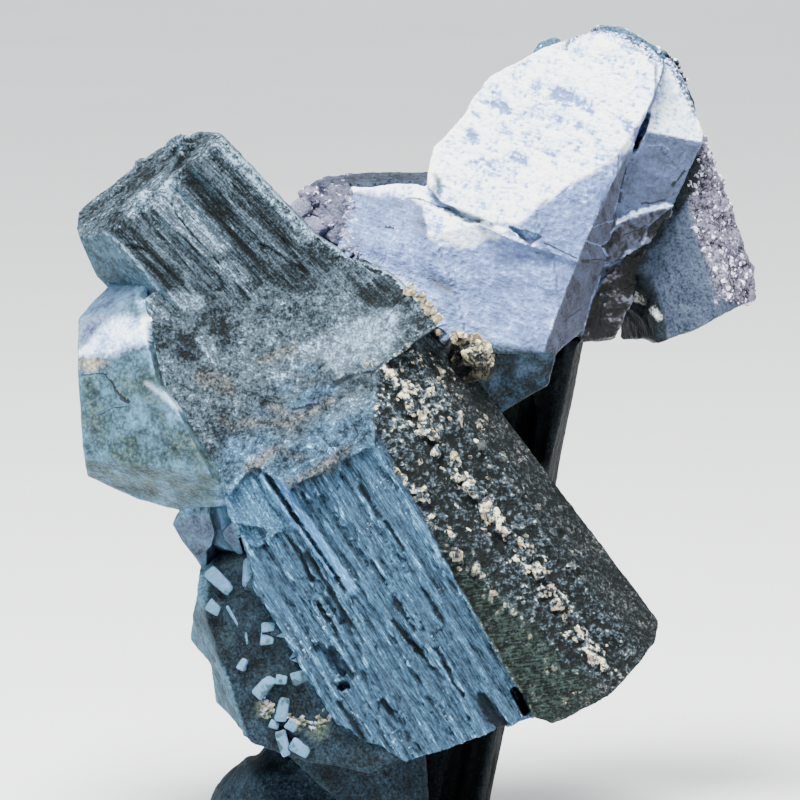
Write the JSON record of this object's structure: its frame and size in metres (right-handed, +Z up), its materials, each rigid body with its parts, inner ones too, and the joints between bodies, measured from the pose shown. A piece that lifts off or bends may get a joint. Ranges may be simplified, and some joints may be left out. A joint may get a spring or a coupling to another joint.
{
  "type": "mineral specimen",
  "caption": "Natural group of stout dark hornblende prisms with blocky white apatite crystals grown on them, trimmed flat underneath to stand.",
  "frame": {"origin": "middle of the group's bounding box, on the level plane it rests on", "axes": "+Z up as it stands; the show side faces -Y; +X is to the right when looking at the show side"},
  "size_m": [0.0684, 0.0392, 0.081],
  "materials": {
    "hornblende_blue": "fibrous cleavage, blue-green grey with a silky shine",
    "hornblende_dark": "dark green-black, grainy",
    "apatite_white": "white with a faint blue cast, slightly rough",
    "apatite_sea": "pale sea-green white, stained olive in places",
    "matrix_pale": "crumbly beige"
  },
  "bodies": {
    "root": {"hornblende_trunk": "hornblende_blue", "hornblende_foot": "hornblende_dark", "hornblende_right": "hornblende_dark", "hornblende_back": "hornblende_dark", "hornblende_rear": "hornblende_dark", "matrix_knob": "hornblende_dark", "matrix_crumb": "matrix_pale", "apatite_crown": "apatite_white", "apatite_left": "apatite_sea", "apatite_buds": "apatite_sea"}
  },
  "joints": []
}
